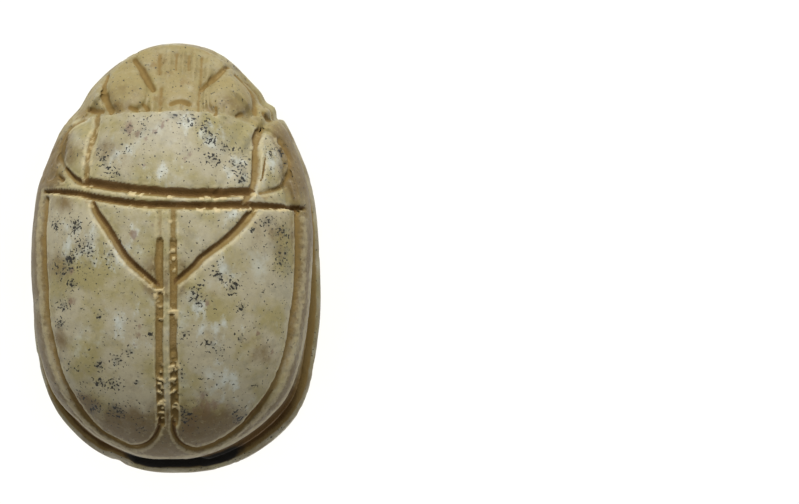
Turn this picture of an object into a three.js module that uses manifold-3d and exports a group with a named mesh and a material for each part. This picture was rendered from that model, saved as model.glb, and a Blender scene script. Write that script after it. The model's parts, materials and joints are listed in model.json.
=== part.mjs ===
// Scarab amulet: a beetle carved from one piece of glazed steatite, pierced lengthwise for a
// cord, with a border line and rows of cut marks on its flat base.
// Millimetres, +Z up, head towards +Y. The origin is under the middle of the base.
import * as THREE from "three";
import { mergeVertices } from "three/addons/utils/BufferGeometryUtils.js";
import Module from "manifold-3d";

const wasm = await Module();
wasm.setup();

// Driving dimensions
const LENGTH = 22;
const WIDTH = 14.8;
const HEIGHT = 9.6;

// Plan: two half ovals that meet at the widest place, which lies behind the middle
const WIDEST_Y = -0.068 * LENGTH;
const HALF_WIDTH = WIDTH / 2;
const HEAD_REACH = LENGTH / 2 - WIDEST_Y;
const TAIL_REACH = LENGTH / 2 + WIDEST_Y;
const HEAD_POWER = 2.08; // 2 is an ellipse, and a larger power is a blunter end
const TAIL_POWER = 2.3;

// Heights of the base plate, of the back's rim at the sides, tail and head, and of the dome
const PLATE = 1.6;
const RIM_SIDE = 4.9;
const RIM_TAIL = 4.5;
const RIM_HEAD = 3.4;
const DOME_POWER = 2.1;
const DOME_ROOT = 1 / 1.75;
const RIM_INSET = 0.42; // the back's rim lies this far inside the base's outline

// The wall under the rim, from the top down: share of the height that it belongs to, and how
// far inside the outline it stands. A waist between the plate and the rim carries the legs.
const WALL = [
  { part: "back", share: 1, inset: RIM_INSET },
  { part: "back", share: 0.8, inset: 0.4 },
  { part: "back", share: 0.64, inset: 1.1 },
  { part: "back", share: 0.06, inset: 1.25 },
  { part: "plate", share: 1, inset: 0.3 },
  { part: "plate", share: 0.8, inset: 0.04 },
  { part: "plate", share: 0.35, inset: 0 },
  { part: "plate", share: -0.2, inset: 0.39 }, // the base is cut flat above this
];
const CELLS_ACROSS = 20;
const CELLS_ALONG = 28;
const EDGE_CROWDING = 1.25; // above 1, the mesh's rings stand closer together near the rim

// The head is cut down in front of the thorax, and so are the shoulders beside its lobes
const HEAD_TOP = 6.6;
const HEAD_SLOPE = 0.62;
const HEAD_CURVE = 0.05;
const HEAD_CROWN = 0.045;
const SHOULDER_DROP = 0.4;
const SHOULDER_SPREAD = 0.9; // the shoulders' cut runs out beyond this share of the outline
const LOBE_EDGE = 5.15;
const LOBE_LENGTH = 3;

// The hole for the cord, and the flat over its rear mouth
const HOLE_RADIUS = 0.8;
const HOLE_Z = 2.55;
const TAIL_FLAT_Y = -10.32;
const TAIL_FLAT_WIDTH = 3;

// Carved lines: half their width, which is also their depth
const BROAD = 0.25;
const MIDDLE = 0.2;
const FINE = 0.15;
const SEAM_GAP = 0.36; // from the middle of the back to each line of the double seam
const BORDER_INSET = 1.05; // of the line round the wing cases
const LINE_SIDES = 4; // a line is half a square bar with its edge down, a V
const LEG_RADIUS = 0.5;
const LEG_SIDES = 6;
const LEG_INSET = 0.95;

// The base: its border, and the sunk leaves
const BASE_BORDER_INSET = 0.88;
const SUNK = 0.22;

const smooth = (from, to, value) => THREE.MathUtils.smoothstep(value, from, to);
const radians = THREE.MathUtils.degToRad;

// Where (x, y) lies between the middle, 0, and the outline drawn in by inset, 1
function spread(x, y, inset) {
  const ahead = y >= WIDEST_Y;
  const power = ahead ? HEAD_POWER : TAIL_POWER;
  const across = Math.abs(x) / (HALF_WIDTH - inset);
  const along = Math.abs(y - WIDEST_Y) / ((ahead ? HEAD_REACH : TAIL_REACH) - inset);
  return (across ** power + along ** power) ** (1 / power);
}

// The outline's point, drawn in by inset, at an angle that runs from the right side, 0, to the
// head, 90, or the tail, -90
function outline(angle, inset) {
  const x = Math.cos(angle) * HALF_WIDTH;
  const along = Math.sin(angle) * (Math.sin(angle) >= 0 ? HEAD_REACH : TAIL_REACH);
  const scale = 1 / spread(x, WIDEST_Y + along, inset);
  return new THREE.Vector2(x * scale, WIDEST_Y + along * scale);
}

// Height of the back's rim on the way from the widest place to (x, y)
function rimHeight(x, y) {
  const along = y - WIDEST_Y;
  const heading = along / Math.max(Math.hypot(x, along), 1e-6);
  const toHead = (RIM_HEAD - RIM_SIDE) * smooth(0.35, 1, heading);
  const toTail = (RIM_TAIL - RIM_SIDE) * smooth(0.2, 1, -heading);
  return RIM_SIDE + toHead + toTail;
}

// Height of the dome, which keeps one height past the furthest spread
function domeHeight(x, y, furthest = 1) {
  const rim = rimHeight(x, y);
  const out = Math.min(spread(x, y, RIM_INSET), furthest);
  return rim + (HEIGHT - rim) * (1 - out ** DOME_POWER) ** DOME_ROOT;
}

// The front of the thorax, which turns back along the outer side of each lobe
function thoraxFront(x) {
  const lobeSide = LOBE_LENGTH * smooth(LOBE_EDGE, LOBE_EDGE + 0.5, Math.abs(x - 0.2));
  return 6.9 - 0.065 * x - 0.022 * x * x - lobeSide;
}

// The head's surface, and the shoulders', which run into it
function headHeight(x, y) {
  const ahead = y - 7;
  const slope = HEAD_TOP - HEAD_SLOPE * ahead - HEAD_CURVE * ahead * ahead - HEAD_CROWN * x * x;
  return Math.min(domeHeight(x, y, SHOULDER_SPREAD) - SHOULDER_DROP, slope);
}

function backHeight(x, y) {
  return y > thoraxFront(x) ? headHeight(x, y) : domeHeight(x, y);
}

function bareMesh(geometry) {
  geometry.deleteAttribute("normal");
  geometry.deleteAttribute("uv");
  return mergeVertices(geometry, 1e-4);
}

function solid(geometry) {
  return new wasm.Manifold(
    new wasm.Mesh({
      numProp: 3,
      vertProperties: geometry.attributes.position.array,
      triVerts: new Uint32Array(geometry.index.array),
    }),
  );
}

// A box of cells whose points, each -1 to 1 across, along and up, are moved by place
function mouldedBox(across, along, up, place) {
  const geometry = bareMesh(new THREE.BoxGeometry(2, 2, 2, across, along, up));
  const position = geometry.attributes.position;
  const point = new THREE.Vector3();
  for (let i = 0; i < position.count; i += 1) {
    point.fromBufferAttribute(position, i);
    position.setXYZ(i, ...place(point.x, point.y, point.z));
  }
  return solid(geometry);
}

// The body: a square block of cells rounded to the outline, with the dome on its top and the
// wall's steps down its sides
function body() {
  const steps = WALL.length - 1;
  return mouldedBox(CELLS_ACROSS, CELLS_ALONG, steps, (u, v, w) => {
    const across = u * Math.sqrt(1 - (v * v) / 2);
    const along = v * Math.sqrt(1 - (u * u) / 2);
    const out = Math.min(Math.hypot(across, along), 1);
    const wall = WALL[Math.round(((1 - w) / 2) * steps)];
    const edge = outline(Math.atan2(along, across), wall.inset);
    const share = 1 - (1 - out) ** EDGE_CROWDING;
    const x = edge.x * share;
    const y = WIDEST_Y + (edge.y - WIDEST_Y) * share;
    if (w > 1 - 1 / steps) return [x, y, domeHeight(x, y)];
    const rim = rimHeight(edge.x, edge.y);
    const z = wall.part === "plate" ? PLATE * wall.share : PLATE + (rim - PLATE) * wall.share;
    return [x, y, z];
  });
}

// All that stands above the head and the shoulders
function aboveHead() {
  const reach = LENGTH / 2 + 1;
  return mouldedBox(36, 8, 1, (u, v, w) => {
    const x = u * (HALF_WIDTH + 0.3);
    const front = thoraxFront(x);
    const y = front + ((v + 1) / 2) * (reach - front);
    return [x, y, w > 0 ? HEIGHT + 1 : headHeight(x, y)];
  });
}

// A many-sided bar of the given radius that follows points, with a corner turned down
function bar(points, radius, steps, sides) {
  const ring = new THREE.EllipseCurve(0, 0, radius, radius).getPoints(sides);
  const section = new THREE.Shape(ring.slice(0, sides));
  const extrudePath = new THREE.CatmullRomCurve3(points);
  return solid(bareMesh(new THREE.ExtrudeGeometry(section, { steps, extrudePath })));
}

// A line along the back through [x, y] places, as a bar that lies half in the surface
function backLine(places, radius, spacing = 1.3) {
  const route = new THREE.SplineCurve(places.map(([x, y]) => new THREE.Vector2(x, y)));
  const steps = Math.ceil(route.getLength() / spacing);
  const points = route.getSpacedPoints(steps).map(({ x, y }) => {
    return new THREE.Vector3(x, y, backHeight(x, y));
  });
  return bar(points, radius, steps, LINE_SIDES);
}

// The line that runs down beside the middle of the back, turns out at the tail and follows the
// rim up to the shoulder, with side 1 on the right and -1 on the left
function wingCaseLine(side) {
  const places = [
    [side * SEAM_GAP, 0.25],
    [side * SEAM_GAP, -4],
    [side * SEAM_GAP, -8.4],
    [side * 0.62, -9.2],
  ];
  for (let angle = -79; angle < 20; angle += 11) {
    const place = outline(radians(angle), BORDER_INSET);
    places.push([side * place.x, place.y]);
  }
  places.push([side * 6.3, 2.5]);
  return backLine(places, BROAD);
}

function backLines() {
  return [
    // Two lines across, between the thorax and the wing cases
    backLine([[-5.3, 3.75], [-2.8, 3.2], [0, 2.87], [2.5, 2.87], [5.6, 3]], BROAD),
    backLine([[-6.4, 3], [-3.6, 2.5], [-2, 2.28], [0.8, 2.15], [4.2, 2.25], [6.7, 2.55]], BROAD),
    // The sides of the thorax's plate
    backLine([[-3.95, 6.8], [-4.15, 3.45]], MIDDLE),
    backLine([[4.45, 6.2], [4.25, 2.85]], MIDDLE),
    // The slanting marks of the shoulders
    backLine([[-4.1, 2.3], [-3.45, 1.55], [-2.5, 0], [-1.45, -1], [-0.4, -1.85]], MIDDLE),
    backLine([[4.45, 2.2], [3.7, 1.3], [3, 0.45], [2, -0.35], [0.4, -1.65]], MIDDLE),
    // The seam is fainter above the shoulder marks
    backLine([[-SEAM_GAP, 1.8], [-SEAM_GAP, 0.2]], FINE),
    backLine([[SEAM_GAP, 2], [SEAM_GAP, 0.2]], MIDDLE),
    wingCaseLine(-1),
    wingCaseLine(1),
    // The head: two rays, and the outer edge of each cheek
    backLine([[-1.85, 9.8], [-1.25, 9.1], [-0.95, 8.2], [-0.9, 7.2]], MIDDLE, 0.5),
    backLine([[2.6, 9.6], [2.1, 8.95], [1.6, 8.2], [1.5, 7.2]], MIDDLE, 0.5),
    backLine([[-3.3, 9.2], [-3.6, 8.6], [-3.4, 7.8], [-2.95, 7]], FINE, 0.5),
    backLine([[3.4, 9.2], [3.85, 8.5], [4.05, 7.7], [3.6, 6.7]], FINE, 0.5),
    backLine([[0, 7.5], [1.1, 7.5]], MIDDLE, 0.5),
  ];
}

// A leg lies against the waist, through [angle, height] places along the outline
function leg(side, places) {
  const points = places.map(([angle, z]) => {
    const place = outline(radians(angle), LEG_INSET);
    return new THREE.Vector3(side * place.x, place.y, z);
  });
  return bar(points, LEG_RADIUS, 2 * places.length, LEG_SIDES);
}

function legs(side) {
  return [
    leg(side, [[24, 3.6], [40, 3.2], [55, 2.6], [70, 2.2]]),
    leg(side, [[21, 3.5], [10, 2.9], [-3, 2.2]]),
    leg(side, [[4, 3.7], [-15, 3.3], [-40, 2.9], [-60, 2.6], [-76, 2.3]]),
  ];
}

function cordHole() {
  const hole = bareMesh(new THREE.CylinderGeometry(HOLE_RADIUS, HOLE_RADIUS, LENGTH + 2, 14));
  return solid(hole.translate(0, 0, HOLE_Z));
}

function belowBase() {
  const slab = bareMesh(new THREE.BoxGeometry(WIDTH, LENGTH, PLATE));
  return solid(slab.translate(0, 0, -PLATE / 2));
}

// The rim is cut off straight above the hole's rear mouth
function tailFlat() {
  const depth = LENGTH / 2 + TAIL_FLAT_Y + 1;
  const height = RIM_TAIL;
  const block = bareMesh(new THREE.BoxGeometry(TAIL_FLAT_WIDTH, depth, height));
  return solid(block.translate(0, TAIL_FLAT_Y - depth / 2, PLATE + 0.15 + height / 2));
}

// A cut stroke on the base through [along, across] places, read with the head to the right
function stroke(places, radius = MIDDLE) {
  const points = places.map(([along, across]) => new THREE.Vector3(across, along, 0));
  return bar(points, radius, places.length > 2 ? 2 * (places.length - 1) : 1, LINE_SIDES);
}

// The border line round the base, in a front and a rear half that overlap at the sides
function baseBorder(middle) {
  const places = [];
  for (let angle = middle - 92; angle <= middle + 92; angle += 23) {
    const place = outline(radians(angle), BASE_BORDER_INSET);
    places.push([place.y, place.x]);
  }
  return stroke(places);
}

// A sunk oval on the base. At no tilt it stands across the base
function leaf(along, across, length, width, tilt = 0) {
  const oval = new THREE.EllipseCurve(0, 0, length / 2, width / 2).getPoints(14).slice(0, 14);
  const settings = { depth: 2 * SUNK, bevelEnabled: false };
  const block = bareMesh(new THREE.ExtrudeGeometry(new THREE.Shape(oval), settings));
  return solid(block.rotateZ(radians(tilt)).translate(across, along, -SUNK));
}

// Parallel strokes, the first from start and each moved on by step
function comb(start, step, span, count) {
  return Array.from({ length: count }, (_, i) => {
    const from = [start[0] + i * step[0], start[1] + i * step[1]];
    return stroke([from, [from[0] + span[0], from[1] + span[1]]], FINE);
  });
}

// A rounded band between two bent strokes. The bend faces the middle of the row
function bentBand(along, across, facing) {
  const turned = (places) => places.map(([a, b]) => [along + facing * a, across + b]);
  return [
    stroke(turned([[-1.5, 0.9], [-0.1, 1.2], [1, 0.5], [1.1, -1.7]])),
    stroke(turned([[-1.3, 0.3], [-0.4, 0.4], [0.1, -0.1], [0.2, -1.5]])),
  ];
}

// A long slanting stroke with a fan of feather strokes behind it and a leaf under it
function wing(facing) {
  const place = ([a, b]) => [-0.35 + facing * a, b];
  const turned = (places) => places.map(place);
  return [
    stroke(turned([[-7, 4.3], [-3.2, -0.8]]), BROAD),
    stroke(turned([[-8.2, 3.1], [-7.6, 1.3], [-6, 0.1], [-4.9, -0.4]])),
    ...comb(place([-7.9, 2.6]), [facing * 0.42, -0.55], [facing * 1.9, -0.1], 4),
    ...comb(place([-7.4, 0.2]), [facing * 0.65, -0.15], [facing * -0.15, -1.2], 3),
    leaf(-0.35 - facing * 4.7, -1.6, 2.7, 1, facing * -32),
  ];
}

// A leaf with three short stalk strokes
function sprig(along, across, length, tilt = 0) {
  const foot = across - length / 2 - 0.3;
  return [
    leaf(along, across, length, 1.2, tilt),
    stroke([[along - 0.15, foot], [along - 0.75, foot - 1.3]]),
    stroke([[along, foot - 0.3], [along, foot - 1.2]], FINE),
    stroke([[along + 0.15, foot], [along + 0.75, foot - 1.3]]),
  ];
}

// A saw-toothed stroke over a straight one
function toothedBand(from, to, across, teeth) {
  const half = (to - from) / (2 * teeth);
  const places = Array.from({ length: 2 * teeth + 1 }, (_, i) => [from + i * half, across - (i % 2)]);
  const zigzag = places.slice(1).map((place, i) => stroke([places[i], place]));
  return [...zigzag, stroke([[from, across - 1.9], [to, across - 1.9]])];
}

function baseCuts() {
  return [
    baseBorder(90),
    baseBorder(-90),
    // The upper row
    ...bentBand(-5, 3.6, 1),
    leaf(-2.25, 4.3, 2.7, 1.3),
    ...comb([-2.6, 2.6], [0.35, 0], [0, -0.9], 3),
    ...comb([-0.8, 5.6], [0.35, 0], [0, -0.9], 3),
    leaf(-0.45, 3.1, 2.4, 1.2),
    leaf(1.4, 4.3, 2.7, 1.3, 8),
    ...comb([1.4, 2.6], [0.35, 0], [0, -0.9], 3),
    ...bentBand(4.2, 3.6, -1),
    // The middle
    wing(1),
    wing(-1),
    stroke([[-2.7, 0.85], [1.6, 0.85]], BROAD),
    stroke([[-2.6, -0.2], [1.7, -0.2]]),
    stroke([[-2.6, -0.9], [-1.6, -1.9], [-0.45, -2.3], [0.7, -1.9], [1.7, -0.9]]),
    stroke([[-2.6, -2.2], [-1.6, -1.4], [-0.45, -1.1], [0.7, -1.4], [1.7, -2.2]]),
    leaf(-9.05, 0, 2.8, 1.2),
    leaf(8.3, -0.9, 3.6, 1.3, 10),
    // The lower row
    ...bentBand(-7.3, -3, 1),
    ...sprig(-4.75, -3, 1.8),
    ...toothedBand(-3.6, 1.7, -3.3, 4),
    ...sprig(2.9, -3, 1.8),
    ...bentBand(5.3, -3.6, -1),
  ].flat();
}

function scarab() {
  let stone = body().subtract(belowBase()).subtract(aboveHead());
  [...legs(1), ...legs(-1)].forEach((part) => {
    stone = stone.add(part);
  });
  [tailFlat(), cordHole(), ...backLines(), ...baseCuts()].forEach((cut) => {
    stone = stone.subtract(cut);
  });
  const { vertProperties, triVerts } = stone.getMesh();
  const geometry = new THREE.BufferGeometry();
  geometry.setAttribute("position", new THREE.BufferAttribute(vertProperties, 3));
  geometry.setIndex(new THREE.BufferAttribute(triVerts, 1));
  geometry.computeVertexNormals();
  return geometry;
}

const steatite = new THREE.MeshStandardMaterial({ color: "#a39a78", roughness: 0.55, metalness: 0 });
const amulet = new THREE.Mesh(scarab(), steatite);
amulet.name = "scarab";

const part = new THREE.Group();
part.add(amulet);

export default part;
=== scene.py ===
"""Scarab amulet: a beetle cut from one piece of steatite, its glaze worn to a pale satin skin.

Run as a script in Blender 4.5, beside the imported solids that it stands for. Lengths in the
properties are metres. The carving is worked out in millimetres, with the head towards +Y.
"""

import itertools
import json
import math

import bmesh
import bpy
import numpy as np
from bpy.props import FloatProperty, FloatVectorProperty, IntProperty, PointerProperty, StringProperty
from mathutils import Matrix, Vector

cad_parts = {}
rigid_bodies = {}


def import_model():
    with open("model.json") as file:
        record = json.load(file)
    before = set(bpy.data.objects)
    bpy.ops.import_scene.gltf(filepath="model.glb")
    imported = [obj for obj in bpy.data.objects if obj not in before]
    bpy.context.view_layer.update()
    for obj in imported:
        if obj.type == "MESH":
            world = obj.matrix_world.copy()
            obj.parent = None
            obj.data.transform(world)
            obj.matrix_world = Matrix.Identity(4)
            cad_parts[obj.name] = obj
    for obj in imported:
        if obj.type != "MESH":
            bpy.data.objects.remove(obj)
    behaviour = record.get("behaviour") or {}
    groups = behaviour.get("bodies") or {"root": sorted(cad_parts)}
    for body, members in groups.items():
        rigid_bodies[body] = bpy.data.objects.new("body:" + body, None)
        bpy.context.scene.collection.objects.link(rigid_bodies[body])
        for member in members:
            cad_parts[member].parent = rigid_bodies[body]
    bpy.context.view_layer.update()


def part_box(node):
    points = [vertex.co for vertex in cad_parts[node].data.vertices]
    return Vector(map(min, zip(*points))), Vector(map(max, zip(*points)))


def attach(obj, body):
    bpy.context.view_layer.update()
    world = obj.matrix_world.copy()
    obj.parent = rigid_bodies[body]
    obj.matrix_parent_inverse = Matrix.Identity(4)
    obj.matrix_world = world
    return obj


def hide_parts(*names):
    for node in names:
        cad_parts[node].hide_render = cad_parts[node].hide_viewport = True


bl_info = {
    "name": "Scarab amulet",
    "version": (1, 0, 0),
    "blender": (4, 5, 0),
    "location": "View3D > Sidebar > Amulet",
    "description": "Carves a steatite scarab and sets it on a studio floor",
    "category": "Object",
}

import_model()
LOW, HIGH = (np.array(corner) * 1000 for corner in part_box("scarab"))
WIDTH, LENGTH, HEIGHT = HIGH - LOW
MM = 0.001

# Plan and dome, as the solid has them
WIDEST_Y = -0.068 * LENGTH
HALF_WIDTH = WIDTH / 2
HEAD_REACH = LENGTH / 2 - WIDEST_Y
TAIL_REACH = LENGTH / 2 + WIDEST_Y
HEAD_POWER = 2.08
TAIL_POWER = 2.3
DOME_POWER = 2.1
DOME_ROOT = 1 / 1.75


def smooth(low, high, value):
    share = np.clip((value - low) / (high - low), 0, 1)
    return share * share * (3 - 2 * share)


def metres(name, description, default):
    return FloatProperty(
        name=name, description=description, default=default * MM, unit="LENGTH", precision=5
    )


def colour(name, description, default):
    return StringProperty(name=name, description=description + ", as an sRGB hex value", default=default)


class AmuletForm(bpy.types.PropertyGroup):
    """Sizes of the stone before its lines are cut"""

    plate: metres("Plate", "Height of the base plate", 1.6)
    rim_side: metres("Rim at side", "Height of the back's rim at the sides", 4.9)
    rim_tail: metres("Rim at tail", "Height of the back's rim at the tail", 4.5)
    rim_head: metres("Rim at head", "Height of the back's rim at the head", 3.4)
    rim_inset: metres("Rim inset", "How far the back's rim lies inside the plate", 0.42)
    head_top: metres("Head top", "Height of the head where it meets the thorax", 6.6)
    leg_radius: metres("Leg radius", "Half the thickness of a leg", 0.5)
    leg_relief: metres("Leg relief", "How far a leg stands out of the waist", 0.6)
    hole_radius: metres("Hole radius", "Radius of the hole for the cord", 0.8)
    hole_height: metres("Hole height", "Height of the middle of that hole", 2.55)


class AmuletCarving(bpy.types.PropertyGroup):
    """Sizes of the cut lines, and how fine the mesh is"""

    broad: metres("Broad line", "Half the width of the main lines", 0.25)
    fine: metres("Fine line", "Half the width of the lesser lines", 0.16)
    depth: metres("Depth", "Depth of the main lines", 0.3)
    cells_across: IntProperty(name="Cells across", description="Mesh cells over the width", default=104)
    cells_along: IntProperty(name="Cells along", description="Mesh cells over the length", default=148)
    cells_up: IntProperty(name="Cells up", description="Mesh cells up the wall", default=38)


class AmuletFinish(bpy.types.PropertyGroup):
    """Colours of the worn stone"""

    stone: colour("Stone", "Body colour of the skin", "#9B9379")
    olive: colour("Olive", "Yellow-green patches", "#8B8156")
    ash: colour("Ash", "Grey patches", "#807C68")
    chalk: colour("Chalk", "Bluish-white patches", "#AFB2A7")
    rust: colour("Rust", "Pinkish-brown veins", "#6E5443")
    wash: colour("Wash", "Ochre wash on the head", "#87784A")
    # Grime is brown handling dirt and painted shade: it darkens the tail's end, a band along the sloping
    # sides near the outline, the walls and the base.
    grime: colour("Grime", "Brown handling dirt at the tail and below", "#5F4A22")
    smoke: colour("Smoke", "Halo round the specks", "#5C5A4D")
    speck: colour("Speck", "Black mineral specks", "#1C1B16")
    # Bone is fresh stone on rubbed edges, and also a painted highlight along the rim's ridge.
    bone: colour("Bone", "Fresh stone on rubbed edges", "#B0A47C")
    ochre: colour("Ochre", "Deposit on the floors of the cuts", "#776030")
    tan: colour("Tan", "Paler stretches of that deposit", "#937E50")
    # Umber is dark brown deposit and painted shade: it is laid on the cut walls that mostly face away from
    # the key light, deep in the waist under the rim, and in the crack below the rim.
    umber: colour("Umber", "Darkest deposit, on their walls", "#5A4018")
    # The soot colour is painted shadow: black laid in the undercut under the tail, either side of the cord
    # hole's mouth, where only shade falls.
    soot: colour("Soot", "Black grime under the tail", "#17140D")
    # Crumb is pale crumbs in the cuts; on the slopes that face the key light their paleness is partly
    # painted light.
    crumb: colour("Crumb", "Crumbs of stone in the cuts", "#BDAC80")


class AmuletStage(bpy.types.PropertyGroup):
    """Floor, lights and camera"""

    floor: colour("Floor", "Pale floor", "#F7F7F5")
    key: FloatProperty(name="Key light", description="Strength of the key light", default=3.9)
    key_width: FloatProperty(
        name="Key width", description="Its width in the sky", default=math.radians(24), subtype="ANGLE"
    )
    key_elevation: FloatProperty(
        name="Key elevation", description="Its height in the sky, beyond the head",
        default=math.radians(43), subtype="ANGLE",
    )
    sky: FloatProperty(name="Sky", description="Strength of the light from all round", default=0.3)
    focal: FloatProperty(name="Focal length", description="Camera lens", default=180, unit="CAMERA")
    eye: FloatVectorProperty(
        name="Eye", description="Where the camera stands", size=3, unit="LENGTH",
        default=(11.4 * MM, -12.5 * MM, 204 * MM),
    )
    aim: FloatVectorProperty(
        name="Aim", description="What the camera looks at", size=3, unit="LENGTH",
        default=(11.4 * MM, 0.33 * MM, 0),
    )


def millimetres(group, name):
    return getattr(group, name) / MM


# Chance: every irregularity comes from one fixed table, so each run is alike

CHANCE = np.random.default_rng(11).uniform(-1, 1, (32, 32, 32))


def noise(points, size, seed=0):
    """Smooth values, -1 to 1, in lumps of about the given size"""
    scaled = points / size + np.array([3.7, 11.3, 5.1]) * (seed + 1)
    cell = np.floor(scaled).astype(int)
    part = scaled - cell
    part = part * part * (3 - 2 * part)
    total = np.zeros(len(points))
    for corner in itertools.product((0, 1), repeat=3):
        weight = np.prod(np.where(corner, part, 1 - part), axis=1)
        at = (cell + corner) % len(CHANCE)
        total += weight * CHANCE[at[:, 0], at[:, 1], at[:, 2]]
    return total


# Form: the plan, the dome and the wall


# Where the outline isn't even: degrees round it, half the stretch's width, and how far in it lies
UNEVEN = (
    (44.6, 1.3, 0.26), (50.5, 2.2, 0.16), (58, 10, 0.24), (24, 10, -0.13), (118, 16, 0.1), (132, 4, 0.15),
    (157, 5, -0.09), (184, 13, 0.13), (219, 9, -0.08), (246, 8, 0.07), (322, 12, -0.18), (320, 26, -0.13),
)
# How far the back's rim is drawn in: degrees round the outline, and the share of rim_inset
RIM_SHARES = (
    (-90, 1.55), (-60, 1.9), (-45, 1.9), (-20, 1.4), (0, 1), (12, 0.5), (38, 0.45), (48, 0.95),
    (132, 0.95), (142, 0.6), (178, 0.65), (200, 1.05), (215, 1.15), (228, 1.65), (245, 1.6), (270, 1.55),
)


def spread(x, y, inset):
    """0 in the middle, 1 on the outline drawn in by inset"""
    ahead = y >= WIDEST_Y
    power = np.where(ahead, HEAD_POWER, TAIL_POWER)
    across = np.abs(x) / (HALF_WIDTH - inset)
    along = np.abs(y - WIDEST_Y) / (np.where(ahead, HEAD_REACH, TAIL_REACH) - inset)
    return (across**power + along**power) ** (1 / power)


def outline(angle, inset):
    """The outline's point, drawn in by inset. Angle 0 is the right side, a quarter turn the head"""
    x = np.cos(angle) * HALF_WIDTH
    along = np.sin(angle) * np.where(np.sin(angle) >= 0, HEAD_REACH, TAIL_REACH)
    scale = 1 / spread(x, WIDEST_Y + along, inset)
    return x * scale, WIDEST_Y + along * scale


def degrees_round(x, y):
    """The angle, -90 to 270 degrees, at which outline reaches the line through a point"""
    along = y - WIDEST_Y
    turned = np.degrees(np.arctan2(along / np.where(along >= 0, HEAD_REACH, TAIL_REACH), x / HALF_WIDTH))
    return (turned + 90) % 360 - 90


def unevenness(degrees):
    """How far in the outline really lies"""
    total = 0
    for place, half_width, inward in UNEVEN:
        away = ((degrees - place + 180) % 360 - 180) / half_width
        total = total + inward * np.exp(-(away**2))
    return total


def rim_height(form, x, y):
    along = y - WIDEST_Y
    heading = along / np.maximum(np.hypot(x, along), 1e-6)
    side = millimetres(form, "rim_side")
    to_head = (millimetres(form, "rim_head") - side) * smooth(0.35, 1, heading)
    to_tail = (millimetres(form, "rim_tail") - side) * smooth(0.2, 1, -heading)
    return side + to_head + to_tail


def rim_inset(form, x, y):
    """How far inside the uneven outline the back's rim lies"""
    return millimetres(form, "rim_inset") * np.interp(degrees_round(x, y), *zip(*RIM_SHARES))


def dome_height(form, x, y, furthest=1.0):
    rim = rim_height(form, x, y)
    drawn_in = rim_inset(form, x, y) + unevenness(degrees_round(x, y))
    out = np.minimum(spread(x, y, drawn_in), furthest)
    return rim + (HEIGHT - rim) * (1 - out**DOME_POWER) ** DOME_ROOT


def thorax_front(x):
    """The front edge of the thorax, which turns back along the outer side of each lobe"""
    lobe_side = 3 * smooth(5.15, 5.65, np.abs(x - 0.2))
    return 6.88 - 0.07 * np.maximum(x - 1.1, 0) ** 2 - 0.012 * np.minimum(x, 0) ** 2 - lobe_side


def head_height(form, x, y):
    ahead = y - 7
    slope = millimetres(form, "head_top") - 0.62 * ahead - 0.05 * ahead**2 - 0.045 * x * x
    shoulder = dome_height(form, x, y, 0.9) - 0.4
    return np.minimum(shoulder, slope)


# Low swellings as (x, y, half width, half length, height): the cheeks, the bumps round the brow,
# the brow, the head's flutes, a foreleg's end beside the left cheek and the thorax's side lobes
SWELLINGS = (
    (-2.15, 8, 1.05, 1.25, 0.4), (2.95, 7.75, 1.12, 1.2, 0.4), (-0.9, 7.35, 0.24, 0.6, 0.16),
    (1.72, 7.6, 0.15, 0.6, 0.2), (0.42, 7.5, 0.75, 0.75, 0.2), (-3.62, 7.9, 0.28, 0.7, 0.2),
    (-0.2, 9.6, 0.24, 0.9, 0.1), (0.55, 9.5, 0.16, 0.9, 0.1), (1.1, 9.45, 0.2, 0.9, 0.12),
    (1.85, 9.2, 0.24, 0.8, 0.14), (4.55, 7.2, 0.3, 0.5, 0.12), (-4.65, 5, 0.85, 1.7, 0.2),
    (5.2, 4.3, 0.75, 1.4, 0.24),
)


def swelling(x, y):
    total = np.zeros(len(x))
    for across, along, half_width, half_length, height in SWELLINGS:
        out = ((x - across) / half_width) ** 2 + ((y - along) / half_length) ** 2
        total = np.maximum(total, height * np.clip(1 - out, 0, 1) ** 0.6)
    return total


def back_height(form, x, y):
    dome = dome_height(form, x, y)
    lowered = np.minimum(dome, head_height(form, x, y))
    front = thorax_front(x)
    step = smooth(front - 0.06, front + 0.06, y)
    return dome + (lowered - dome) * step + swelling(x, y)


# Lines: how they run, and how far each point of the mesh is from them


def smooth_line(places, pieces=8):
    """Points along a smooth line through the places"""
    knots = np.array(places, float)
    ends = 2 * knots[[0, -1]] - knots[[1, -2]]
    padded = np.vstack([ends[:1], knots, ends[1:]])
    t = np.arange(pieces)[:, None] / pieces
    spans = [
        b + (c - a) * t / 2 + (2 * a - 5 * b + 4 * c - d) * t**2 / 2 + (3 * b - a - 3 * c + d) * t**3 / 2
        for a, b, c, d in zip(padded, padded[1:], padded[2:], padded[3:])
    ]
    return np.vstack([*spans, knots[-1:]])


def from_line(points, line):
    """Each point's distance from the line, its side (1 on the left of the run) and place on it"""
    nearest = np.full(len(points), np.inf)
    side, place = np.ones(len(points)), np.zeros(len(points))
    for i, (start, end) in enumerate(zip(line, line[1:])):
        way = end - start
        offset = points - start
        share = np.clip(offset @ way / (way @ way), 0, 1)
        gap = np.hypot(*(offset - share[:, None] * way).T)
        nearer = gap < nearest
        nearest[nearer] = gap[nearer]
        left = way[0] * offset[:, 1] - way[1] * offset[:, 0] > 0
        side[nearer] = np.where(left, 1, -1)[nearer]
        place[nearer] = (i + share)[nearer]
    return nearest, side, place


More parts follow.
